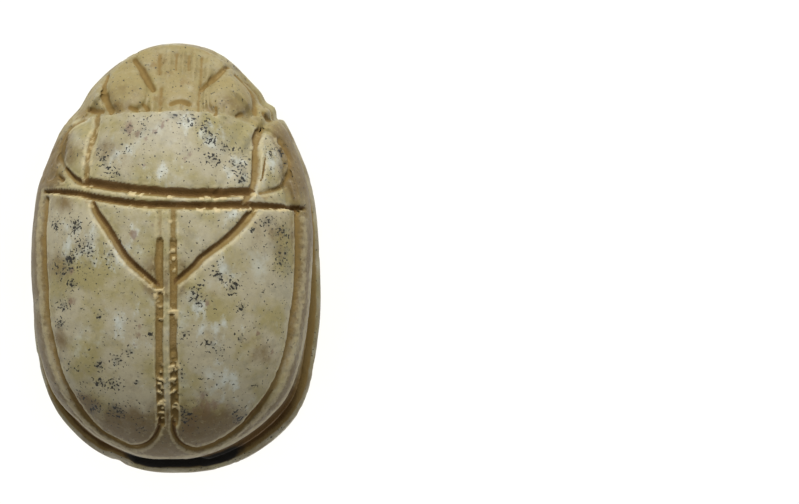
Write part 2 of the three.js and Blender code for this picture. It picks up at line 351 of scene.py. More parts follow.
class Carving:
    """How one face of the stone is cut, added up cut by cut for each of its points"""

    REACH = 0.5  # beyond a line's half width, how far its worn edge is felt

    def __init__(self, points, deep):
        self.points = points
        self.deep = deep
        self.depth, self.worn, self.dark, self.crumbs, self.stain = np.zeros((5, len(points)))

    def line(self, places, half_width, depth=1.0, floor=0.0, wall=0, deepest=0.0, dark=1.0, stain=1.0,
             crumbs=0.0, pieces=8):
        """Cuts a line through places: x, y and, if need be, shares of the width and of the dark.

        A floor of 0 is a V and of 0.8 a flat trench. The steeper wall, which mostly faces away from
        the key light and gets the darkest deposit with painted shade, stands on the left of the run
        where wall is 1 and on the right where it is -1. It rises from deepest, which is 0 in the
        middle of the cut and 1 at the wall's top, and crumbs, pale partly as painted light, lie on
        the other side of that. With wall 0 both sides are alike.
        """
        places = [(*place, *(1, 1)[len(place) - 2:]) for place in places]
        line = smooth_line(places, pieces) if len(places) > 2 else np.array(places, float)
        line, shares = line[:, :2], line[:, 2:]
        low, high = line.min(0) - half_width - self.REACH, line.max(0) + half_width + self.REACH
        near = np.flatnonzero(((self.points > low) & (self.points < high)).all(1))
        gap, side, place = from_line(self.points[near], line)
        width, darkness = (np.interp(place, np.arange(len(line)), share) for share in shares.T)
        half = half_width * width
        offset = side * gap / half * (wall or 1)
        share = np.abs(offset - deepest) / np.where(offset > deepest, 1 - deepest, 1 + deepest)
        cut = 1 - smooth(floor, 1.05, share)
        wear = np.exp(-((np.maximum(gap - half, 0) / 0.14) ** 2))
        # shade feeds the umber coat: brown deposit and painted shade in the cut, in its middle or, with a
        # steeper wall, on that wall, which mostly faces away from the key light. The pale crumbs, partly
        # painted light, lie on the lit side.
        shade = np.exp(-((offset / 0.75) ** 2))
        crumbled = crumbs * smooth(1.5, 1, np.abs(offset))
        if wall:
            shade = smooth(deepest - 0.3, deepest + 0.1, offset) * smooth(1.1, 0.85, offset)
            crumbled = crumbled * smooth(deepest + 0.1, deepest - 0.2, offset)
        shade = dark * darkness * shade * smooth(0, 0.25, cut)
        self.add(near, self.deep * depth * cut, wear, shade, crumbled, stain * cut)

    def add(self, near, *layers):
        for total, layer in zip((self.depth, self.worn, self.dark, self.crumbs, self.stain), layers):
            total[near] = np.maximum(total[near], layer)

    def oval(self, centre, length, width, tilt=0.0):
        """Sinks an oval with a deep edge and a raised, hatched middle"""
        turn = math.radians(tilt)
        offset = self.points - np.array(centre)
        along = offset @ np.array([math.cos(turn), math.sin(turn)])
        across = offset @ np.array([-math.sin(turn), math.cos(turn)])
        out = np.hypot(along / (length / 2), across / (width / 2))
        middle = 0.42 + 0.3 * (0.5 + 0.5 * np.sin((along + 0.9 * across) * math.tau / 0.34))
        edge = smooth(0.35, 0.66, out)
        cut = (middle * (1 - edge) + edge) * (1 - smooth(0.86, 1.08, out))
        wear = np.exp(-(((out - 1) * width / 0.28) ** 2))
        self.add(slice(None), self.deep * cut, wear, 0.8 * edge * cut, 0, cut)

    def comb(self, start, step, span, count, half_width):
        """Parallel strokes, the first from start and each moved on by step"""
        for i in range(count):
            place = np.array(start) + i * np.array(step)
            self.line([place, place + np.array(span)], half_width, 0.7)


SEAM = {-1: -0.32, 1: 0.37}  # where each line of the double seam runs
# Each wing case's border: the arc that turns it out of the seam, as its middle, radius and first
# and last degree, then how far inside the outline it runs, at degrees away from the tail's end
TAIL_ARCS = {-1: ((-1.75, -8.4), 1.4, -5, -100), 1: ((1.35, -8.8), 1.1, 170, 280)}
BORDER_DEGREES = (20, 40, 57, 75, 92, 110)
BORDER_INSETS = {-1: (1, 1.1, 1.2, 1.22, 1.15, 0.8), 1: (1, 1.15, 1.02, 1.1, 0.93, 0.62)}
# Where the tail's narrow cut gives way to the side's broad one, and where that ends
BORDER_CHANGE, BORDER_ENDS = 36, {-1: 111, 1: 108}


def arc(middle, radius, first, last, pieces=8):
    turn = np.radians(np.linspace(first, last, pieces))
    return np.column_stack([middle[0] + radius * np.cos(turn), middle[1] + radius * np.sin(turn)])


def border(side, first, last, pieces):
    """Points of a wing case's border, between two degrees away from the tail's end"""
    away = np.linspace(first, last, pieces)
    inset = np.interp(away, BORDER_DEGREES, BORDER_INSETS[side])
    return np.column_stack(outline(np.radians(side * away - 90), inset))


def carve_wing_cases(carving, broad, fine):
    """Two lines from the shoulders to the seam, the double seam, and the border of each case"""
    shoulder = [(-3.7, 2.2, 0.7), (-3.5, 1.72, 1), (-2.94, 0.92, 1), (-1.94, -0.55, 1), (-0.55, -1.85, 0.9)]
    carving.line(shoulder, fine * 1.75, 0.95, 0.1, wall=1, deepest=-0.05, dark=0.9, crumbs=0.5)
    shoulder = [(0.55, -1.7, 0.9), (1.4, -1.03, 1), (1.92, -0.47, 1), (3.38, 0.75, 1.1), (4.3, 1.9, 1.1)]
    carving.line(shoulder, fine * 1.75, 0.95, 0.1, wall=1, deepest=0.1, dark=0.75, crumbs=0.15)
    for side in (-1, 1):
        seam = SEAM[side]
        places = [(seam, 0.25), (seam, -4), (seam, -8), (seam - side * 0.02, -8.6, 0.9, 1)]
        carving.line(places, broad * 0.86, floor=0.55, dark=0.3, crumbs=1)
        fading, faded = border(side, BORDER_CHANGE + 7, BORDER_CHANGE + 14, 2)
        tail = [*arc(*TAIL_ARCS[side]), *border(side, 20, BORDER_CHANGE, 3)]
        carving.line([*tail, (*fading, 0.9, 0.8), (*faded, 0.6, 0.5)], fine, 0.9, wall=side, deepest=-0.2)
        first, *rest = border(side, BORDER_CHANGE, BORDER_ENDS[side], 10)
        rest = [(*first, 0.8), *rest]
        carving.line(rest, broad, 0.8, wall=side, deepest=0.45, dark=0.6, stain=0.7)
    carving.line([(SEAM[-1], 1.95), (SEAM[-1], 0.2)], fine * 1.1, 0.3, 0.3, dark=0, stain=0.3, crumbs=0.4)
    carving.line([(SEAM[1], 2), (SEAM[1], 0.2)], fine * 1.3, 0.5, 0.4, dark=0.1, stain=0.5, crumbs=0.7)


def carve_thorax(carving, broad, fine):
    """The double line behind the thorax, the lines up beside its plate and round its lobes"""
    upper = [(-4, 3.3), (-2.1, 2.95), (0.4, 2.7), (2.3, 2.7), (4.1, 2.8)]
    carving.line(upper, broad * 1.25, 1.15, 0.1, wall=1, deepest=-0.3, crumbs=1)
    lower = [
        (-6.3, 3, 0.5), (-4.9, 2.85, 0.8), (-3.3, 2.45, 0.9), (-1.2, 2.12), (1.2, 2.05), (3.9, 2.13),
        (6.7, 2.15, 0.6),
    ]
    carving.line(lower, broad, 1.05, 0.1, wall=1, deepest=-0.25, crumbs=0.9)
    left = [(-3.65, 6.75), (-3.7, 5.9), (-4, 4.7), (-4.1, 3.4)]
    carving.line(left, fine * 1.35, 0.45, 0.3, dark=0.05, stain=0.55, crumbs=0.5)
    right = [(4.5, 6.05), (4.35, 5.3), (4.3, 3.2), (3.7, 2)]
    carving.line(right, fine * 1.5, 0.6, 0.2, wall=-1, deepest=0.4, dark=0.5, stain=0.75, crumbs=0.3)
    carving.line([(4.8, 4.6, 0.5), (4.72, 3.9), (4.6, 3.4, 0.5)], fine * 0.5, 0.5, dark=0.7)
    # The side lobes' outer edges
    first, *lobe = arc((-3.95, 5.05), 1.62, 99, 221)
    carving.line([(*first, 0.5), *lobe], fine * 1.1, 0.35, dark=0.1, stain=0.5)
    carving.line([(-5.2, 4.05, 0.6), (-4.7, 3.5), (-4.15, 3.24)], fine * 1.4, 0.9, wall=1, deepest=-0.2)
    carving.line([(-5.6, 3.75, 0.6), (-5.3, 3.5)], fine, 0.7, dark=0.7)
    lobe = [(5.45, 5.65), (5.95, 4.5), (5.6, 3.2), (4.6, 2.8)]
    carving.line(lobe, fine * 1.2, 0.55, wall=1, deepest=0.2, dark=0.35, stain=0.6, crumbs=0.4)


# The furrows between the head's flutes and beside the brow: x, both ends, share of the fine width
FURROWS = (
    (-0.62, 10, 9, 1.4), (-0.5, 8.2, 7, 1.2), (0.22, 10.1, 9.2, 0.7), (0.84, 10, 9.2, 0.8),
    (1.47, 9.9, 8.3, 0.9), (1.42, 8, 7, 0.9),
)


def carve_head(carving, fine):
    """The head's two rays, the cheeks' outer edges, the furrows between the flutes and the brow"""
    ray = [(-1.9, 9.78, 0.8), (-1.4, 9.05), (-0.92, 8.15, 0.8)]
    carving.line(ray, fine * 1.6, 0.8, wall=1, deepest=0.1, dark=0.35)
    ray = [(2.8, 9.5, 0.7), (2.22, 8.87), (1.5, 8.15, 0.8)]
    carving.line(ray, fine * 1.5, 0.75, dark=0.3)
    carving.line([(-3.3, 9, 0.6), (-3.38, 8.2), (-3.2, 7.4), (-2.95, 6.95)], fine * 1.3, 0.6, dark=0.3)
    carving.line([(3.2, 9.05), (3.9, 8.35), (4.2, 7.65), (4.2, 6.9)], fine * 1.1, 0.4, dark=0.05, stain=0.7)
    carving.line([(-4.2, 7.15, 0.6), (-3.85, 7.06), (-3.4, 7, 0.7)], fine * 1.5, 0.6, dark=0.55)
    carving.line([(3.35, 6.72, 0.6), (3.6, 6.85)], fine * 1.1, 0.4, dark=0.35)
    carving.line([(4.6, 7.05, 0.6), (4.85, 6.75)], fine * 1.4, 0.5, dark=0.3)
    carving.line([(-1.95, 7.12), (-1.6, 7.02)], fine * 1.1, 0.4, dark=0.2)
    carving.line([(-1.28, 7.3), (-1.1, 7)], fine * 0.8, 0.4, dark=0.25)
    carving.line([(2.26, 7.1), (2.3, 6.75)], fine * 0.9, 0.3, dark=0.2)
    carving.line([(0.05, 7.32), (0.5, 7.47), (1, 7.32)], fine * 1.3, 0.5, dark=0.2)
    for x, top, foot, wide in FURROWS:
        carving.line([(x, top), (x, foot)], fine * wide, 0.3, dark=0, stain=0.5)


def carve_back(carving, settings):
    broad, fine = millimetres(settings, "broad"), millimetres(settings, "fine")
    carve_thorax(carving, broad, fine)
    carve_wing_cases(carving, broad, fine)
    carve_head(carving, fine)


def carve_base(carving, settings):
    """The border line, and rows of strokes and hatched ovals that spell nothing"""
    broad, fine = millimetres(settings, "broad"), millimetres(settings, "fine")
    for start in (-92, 88):
        angles = np.radians(np.arange(start, start + 185, 8))
        carving.line(np.column_stack(outline(angles, 0.88)), fine * 1.1, dark=0.6, pieces=3)

    def stroke(places, half_width=fine * 1.15):
        carving.line([(across, along) for along, across in places], half_width, dark=0.7)

    def bent_band(along, across, facing):
        outer = [(-1.5, 0.9), (-0.1, 1.2), (1, 0.5), (1.1, -1.7)]
        inner = [(-1.3, 0.3), (-0.4, 0.4), (0.1, -0.1), (0.2, -1.5)]
        for places in (outer, inner):
            stroke([(along + facing * a, across + b) for a, b in places])

    def comb(start, step, span, count):
        carving.comb(start[::-1], step[::-1], span[::-1], count, fine * 0.9)

    def wing(facing):
        def place(along, across):
            return -0.35 + facing * along, across

        stroke([place(-7, 4.3), place(-3.2, -0.8)], broad * 0.9)
        stroke([place(-8.2, 3.1), place(-7.6, 1.3), place(-6, 0.1), place(-4.9, -0.4)])
        comb(place(-7.9, 2.6), (facing * 0.42, -0.55), (facing * 1.9, -0.1), 4)
        comb(place(-7.4, 0.2), (facing * 0.65, -0.15), (facing * -0.15, -1.2), 3)
        carving.oval((-1.6, -0.35 - facing * 4.7), 2.7, 1, facing * -32)

    def sprig(along, across, length):
        carving.oval((across, along), length, 1.2)
        foot = across - length / 2 - 0.3
        stroke([(along - 0.15, foot), (along - 0.75, foot - 1.3)])
        stroke([(along, foot - 0.3), (along, foot - 1.2)], fine * 0.8)
        stroke([(along + 0.15, foot), (along + 0.75, foot - 1.3)])

    def toothed_band(start, end, across, teeth):
        alongs = np.linspace(start, end, 2 * teeth + 1)
        places = [(a, across - i % 2) for i, a in enumerate(alongs)]
        for pair in zip(places, places[1:]):
            stroke(pair)
        stroke([(start, across - 1.9), (end, across - 1.9)])

    bent_band(-5, 3.6, 1)
    bent_band(4.2, 3.6, -1)
    carving.oval((4.3, -2.25), 2.7, 1.3)
    carving.oval((3.1, -0.45), 2.4, 1.2)
    carving.oval((4.3, 1.4), 2.7, 1.3, 8)
    comb((-2.6, 2.6), (0.35, 0), (0, -0.9), 3)
    comb((-0.8, 5.6), (0.35, 0), (0, -0.9), 3)
    comb((1.4, 2.6), (0.35, 0), (0, -0.9), 3)
    wing(1)
    wing(-1)
    stroke([(-2.7, 0.85), (1.6, 0.85)], broad * 0.9)
    stroke([(-2.6, -0.2), (1.7, -0.2)])
    stroke([(-2.6, -0.9), (-1.6, -1.9), (-0.45, -2.3), (0.7, -1.9), (1.7, -0.9)])
    stroke([(-2.6, -2.2), (-1.6, -1.4), (-0.45, -1.1), (0.7, -1.4), (1.7, -2.2)])
    carving.oval((0, -9.05), 2.8, 1.2)
    carving.oval((-0.9, 8.3), 3.6, 1.3, 10)
    bent_band(-7.3, -3, 1)
    bent_band(5.3, -3.6, -1)
    sprig(-4.75, -3, 1.8)
    sprig(2.9, -3, 1.8)
    toothed_band(-3.6, 1.7, -3.3, 4)


# The wall from the rim, 2, through the waist to the plate's top, 1, and the foot, 0

WALL = np.array([
    (2, 0.42), (1.8, 0.4), (1.64, 1.1), (1.06, 1.25), (1, 0.3), (0.8, 0.04), (0.35, 0), (0, 0.25),
])
LEGS = (
    [(24, 3.6), (40, 3.2), (55, 2.6), (70, 2.2)],
    [(21, 3.5), (10, 2.9), (-3, 2.2)],
    [(4, 3.7), (-15, 3.3), (-40, 2.9), (-60, 2.6), (-76, 2.3)],
)
TAIL_FLAT = (-10.32, 1.5)  # the rim is straight here, for this far to each side
# A flake below the rim at the lower right, with a crack above it: how far one stands out and the
# other goes in, how far below the rim each lies, half their thickness, and the degrees of its ends
FLAKE, CRACK = 0.34, 0.12
FLAKE_DROP, CRACK_DROP = 0.7, 0.38
FLAKE_THICKNESS = 0.16
FLAKE_ENDS = (-80, -16)


def wall_place(form, t, rim, drawn_in):
    """Height and inset of the wall at share t of the way down from the rim"""
    plate = millimetres(form, "plate")
    heights = plate * np.minimum(WALL[:, 0], 1) + (4.6 - plate) * np.maximum(WALL[:, 0] - 1, 0)
    run = np.append(0, np.cumsum(np.hypot(np.diff(heights), np.diff(WALL[:, 1]))))
    fine = np.linspace(0, 1, 241)
    level = np.interp(fine, run / run[-1], WALL[:, 0])
    inset = np.interp(fine, run / run[-1], WALL[:, 1])
    # Rounds the corners of the section, and leaves its ends where they are
    window = np.hanning(15) / np.hanning(15).sum()
    padded_level = np.pad(level, 7, mode="reflect", reflect_type="odd")
    padded_inset = np.pad(inset, 7, mode="reflect", reflect_type="odd")
    level = np.interp(t, fine, np.convolve(padded_level, window, "valid"))
    inset = np.interp(t, fine, np.convolve(padded_inset, window, "valid"))
    height = plate * np.minimum(level, 1) + (rim - plate) * np.maximum(level - 1, 0)
    return height, inset + (drawn_in - WALL[0, 1]) * smooth(1.62, 1.8, level)


def along_wall(angle):
    """Millimetres along the outline, from the right or left side, towards the head"""
    grid = np.radians(np.linspace(-90, 90, 721))
    x, y = outline(grid, 1)
    run = np.append(0, np.cumsum(np.hypot(np.diff(x), np.diff(y))))
    return np.interp(angle, grid, run)


def leg_relief(form, angle, height):
    """How far the legs stand out of the waist"""
    points = np.column_stack([along_wall(angle), height])
    radius = millimetres(form, "leg_radius")
    relief = np.zeros(len(points))
    for places in LEGS:
        line = smooth_line([(float(along_wall(math.radians(a))), z) for a, z in places])
        gap = from_line(points, line)[0]
        relief = np.maximum(relief, np.sqrt(np.clip(1 - (gap / radius) ** 2, 0, 1)))
    return relief * millimetres(form, "leg_relief")


def flake(degrees, below_rim, drop):
    """1 along the middle of the flake or the crack, falling to 0 beside it"""
    start, end = FLAKE_ENDS
    here = smooth(start, start + 6, degrees) * smooth(end, end - 20, degrees)
    return here * np.exp(-(((below_rim - drop) / FLAKE_THICKNESS) ** 2))


def top_and_bottom(cube):
    """Which of the cube's points lie on its top face, and which on its bottom face"""
    return cube[:, 2] > 1 - 1e-6, cube[:, 2] < -1 + 1e-6


def place_on_stone(form, cube):
    """Moves points of a cube, -1 to 1 each way, to the uncut stone"""
    u, v, w = cube.T
    across = u * np.sqrt(1 - v * v / 2)
    along = v * np.sqrt(1 - u * u / 2)
    out = np.minimum(np.hypot(across, along), 1)
    angle = np.arctan2(along, across)
    rim_x, rim_y = outline(angle, millimetres(form, "rim_inset"))
    rim, drawn_in = rim_height(form, rim_x, rim_y), rim_inset(form, rim_x, rim_y)
    height, inset = wall_place(form, (1 - w) / 2, rim, drawn_in)
    folded = np.arctan2(along, np.abs(across))
    relief = leg_relief(form, folded, height) * smooth(0.7, 1, inset) * (w < 1)
    degrees = degrees_round(rim_x, rim_y)
    below = np.where(w < 1, rim - height, -1)
    relief += FLAKE * flake(degrees, below, FLAKE_DROP) - CRACK * flake(degrees, below, CRACK_DROP)
    x, y = outline(angle, inset + unevenness(degrees) - relief)
    share = 1 - (1 - out) ** 1.25
    x, y = x * share, WIDEST_Y + (y - WIDEST_Y) * share
    top, bottom = top_and_bottom(cube)
    z = np.where(top, back_height(form, x, y), np.where(bottom, 0, height))
    flat_y, flat_x = TAIL_FLAT
    over_hole = smooth(flat_x + 0.5, flat_x, np.abs(x)) * (z > millimetres(form, "plate") + 0.1)
    y = np.where(y < flat_y, y + (flat_y - y) * over_hole, y)
    return np.column_stack([x, y, z])


# The mesh, its wear and the marks on it

# Places of the skin's marks as (x, y, radius): clusters of black specks, bluish-white patches, brown veins
SPECKS = (
    (1.9, 5.9, 0.6), (2.4, 5.2, 0.8), (2.3, 4.6, 0.6), (3.6, 4.3, 0.7), (3.7, 3.5, 0.5), (5.3, 4.9, 0.6),
    (5.2, 3.7, 0.55), (1.0, 6.4, 0.55), (0.3, 6.6, 0.35), (-2.1, 5.9, 0.35), (-2.2, 5.0, 0.35),
    (-2.0, 4.7, 0.25), (-3.2, 4.5, 0.3), (-3.0, 4.0, 0.3), (-2.6, 3.7, 0.35), (-1.3, 6.3, 0.4),
    (-4.6, 1.1, 0.45), (-3.9, 0.3, 0.5), (-4.3, -0.6, 0.85), (-3.6, -0.3, 0.5), (-2.8, -0.8, 0.2),
    (-5.6, 1.2, 0.3), (-5.3, -1.1, 0.4), (-4.7, -1.8, 0.35), (-5.1, -2.8, 0.35), (-5.3, -3.7, 0.3),
    (-3.3, -3.3, 0.25), (5.5, 0.8, 0.5), (5.8, -0.2, 0.6), (5.7, -0.9, 0.5), (4.9, 1.3, 0.4),
    (2.7, -1.3, 0.55), (3.2, -1.9, 0.5), (1.3, -2.3, 0.5), (1.6, -2.9, 0.4), (3.7, -2.9, 0.3),
    (1.0, -4.5, 0.45), (2.2, -4.8, 0.35), (2.7, -5.2, 0.3), (3.6, -4.5, 0.25), (0.9, -6.1, 0.35),
    (1.8, -6.2, 0.25), (-1.7, -5.2, 0.35), (-2.4, -5.5, 0.35), (-3.3, -5.7, 0.3), (-4.6, -5.8, 0.4),
    (-4.2, -7.0, 0.5), (-3.4, -6.7, 0.4), (-2.5, -7.9, 0.5), (-3.6, -7.9, 0.4), (-1.4, -8.7, 0.35),
    (0.9, -8.2, 0.5), (3.5, -8.2, 0.45), (4.5, -6.7, 0.25), (-2.6, -6.7, 0.4), (-0.7, -4.3, 0.12),
)
CHALK = (
    (-0.3, 3.6, 0.9), (-2.3, 4.6, 0.7), (2.2, 5.5, 0.9), (3.4, 4, 0.8), (-4.6, 0.6, 1.1), (0.9, 6.3, 0.6),
    (5.2, 4.5, 0.8), (2.3, -4.0, 1), (-2.2, -3.6, 0.9), (2.8, -6.6, 1.2), (2.9, -1.2, 0.8),
    (-3.6, -0.2, 1), (-1.2, -4.8, 0.5), (-2.2, -0.2, 0.8), (1.5, -3, 0.8), (3.4, 1.6, 0.5), (-1.5, 0.9, 0.6),
)
RUST = (
    (0.05, 6.35, 0.16), (-0.3, 6.05, 0.16), (-0.65, 5.75, 0.16), (-1, 5.4, 0.16), (0.95, 4.4, 0.22),
    (1.15, 4.65, 0.18), (-1.95, 6, 0.4), (-1.5, 5.7, 0.2), (2.95, -7.7, 0.16), (2.9, -8.2, 0.16),
    (2.9, -8.7, 0.14), (1, -8.9, 0.5), (1.9, -8, 0.9), (-4.7, -2.6, 0.25), (-4.7, -1.1, 0.2),
    (-1.4, -4.3, 0.25), (-1.3, -3.9, 0.2), (-1.5, -4.8, 0.2), (2, -2.8, 0.2), (-1.6, 0.6, 0.25),
    (-0.6, 1.1, 0.25), (-1.1, 4.1, 0.15), (5.1, -5.1, 0.15), (4.5, -4.2, 0.15),
)
# Crumbs left in the double seam, small holes, ochre stains, most of them on the head, and dirt
RUBBLE = (
    (-0.32, -2.3, 0.45), (-0.32, -3.3, 0.35), (-0.35, -6.5, 0.4), (-0.35, -7.7, 0.9), (0.37, -0.4, 0.3),
    (0.37, -1, 0.2), (0.37, -3.2, 0.35), (0.34, -6.2, 0.6), (0.32, -7.4, 0.7), (0.37, 1, 0.5),
)
PITS = (
    (-0.32, 0.12, 0.15), (0.37, 0.02, 0.1), (-0.72, -4.25, 0.1), (-0.25, -2.7, 0.1), (-0.3, -3.6, 0.1),
    (-0.3, -6.35, 0.12), (-0.25, -6.95, 0.12), (0.4, -3.75, 0.1), (0.38, -1.15, 0.08), (-2.3, 0.3, 0.1),
    (-4.9, -0.55, 0.14), (-2.7, -0.35, 0.12), (4.2, 0.9, 0.12), (-3.5, 4.9, 0.1), (-1.5, -6.6, 0.1),
)
OCHRE = (
    (-0.62, 9.7, 0.3), (-0.62, 9.1, 0.25), (-0.15, 9.05, 0.3), (-0.5, 7.6, 0.35), (0.7, 8.5, 0.4),
    (-0.9, 9.5, 0.2), (1.05, 10.1, 0.2), (0.2, 10.05, 0.2), (1.9, 7.2, 0.4), (-2.6, 7.1, 0.4),
    (-3.9, 2.45, 0.3), (4.9, 2.7, 0.4), (5.3, 6.2, 0.5), (-4.4, 6.9, 0.5), (-3.9, 3.1, 0.3), (0, -8.3, 0.35),
)
GRIME = (
    (-4.8, 5, 1), (-5.6, 3.6, 0.6), (-3, 5, 0.9), (5.6, 6, 0.8), (5.8, 3.4, 0.6), (-5.2, 2.2, 0.7),
    (5.4, 0.9, 1.1), (4.2, 1.2, 0.7), (-5.3, -0.9, 0.7), (-2.6, 7.6, 0.9), (3, 7.4, 1), (-2.4, -8.7, 1),
    (1.6, -9, 0.9), (-3.9, -7.6, 0.8), (0, -8.9, 0.8), (-5.2, -4.5, 0.7), (4.9, -5.2, 0.9), (0.4, 9.9, 0.7),
)
# Chips of the plate's edge: degrees round the outline, height, radius and depth
CHIPS = (
    (-158, 0.2, 1.1, 0.22), (-24, 0.3, 0.6, 0.15), (33, 0.1, 0.9, 0.2), (61, 1.4, 0.7, 0.16),
    (118, 0.2, 0.8, 0.2), (150, 1.3, 0.6, 0.12), (-70, 0.2, 0.7, 0.15), (-112, 1.3, 0.9, 0.14),
)


def spots(points, places):
    """1 in the middle of a place, falling to 0 round it"""
    total = np.zeros(len(points))
    for x, y, radius in places:
        total = np.maximum(total, np.exp(-(((points[:, :2] - (x, y)) ** 2).sum(1)) / radius**2))
    return total


def wobbled(points):
    """Moves points a little each way, so that lines cut there look cut by hand"""
    flat = np.column_stack([points[:, :2], np.zeros(len(points))])
    shift = [0.035 * noise(flat, 1.3, seed) + 0.008 * noise(flat, 0.4, seed + 2) for seed in (1, 2)]
    return points[:, :2] + np.column_stack(shift)


def carvings(settings, points, top, bottom):
    deep = millimetres(settings, "depth")
    back = Carving(wobbled(points[top]), deep)
    carve_back(back, settings)
    base = Carving(wobbled(points[bottom]), deep)
    carve_base(base, settings)
    return back, base


def cube_points(bm):
    return np.array([vertex.co for vertex in bm.verts])


def start_block(settings):
    """A cube cut into even cells"""
    bm = bmesh.new()
    bmesh.ops.create_cube(bm, size=2)
    for axis, cells in enumerate((settings.cells_across, settings.cells_along, settings.cells_up)):
        whole = [e for e in bm.edges if abs((e.verts[0].co - e.verts[1].co)[axis]) > 1]
        bmesh.ops.subdivide_edges(bm, edges=whole, cuts=cells - 1, use_grid_fill=True)
    return bm


def refine(bm, form, settings):
    """Halves the cells where lines are cut, and all over the head"""
    cube = cube_points(bm)
    points = place_on_stone(form, cube)
    top, bottom = top_and_bottom(cube)
    near = np.zeros(len(cube), bool)
    back, base = carvings(settings, points, top, bottom)
    near[top] = (back.worn > 0.4) | (points[top, 1] > thorax_front(points[top, 0]) - 0.25)
    near[bottom] = base.depth > 0.05
    bm.verts.index_update()
    edges = [e for e in bm.edges if near[e.verts[0].index] and near[e.verts[1].index]]
    bmesh.ops.subdivide_edges(bm, edges=edges, cuts=1, use_grid_fill=True)


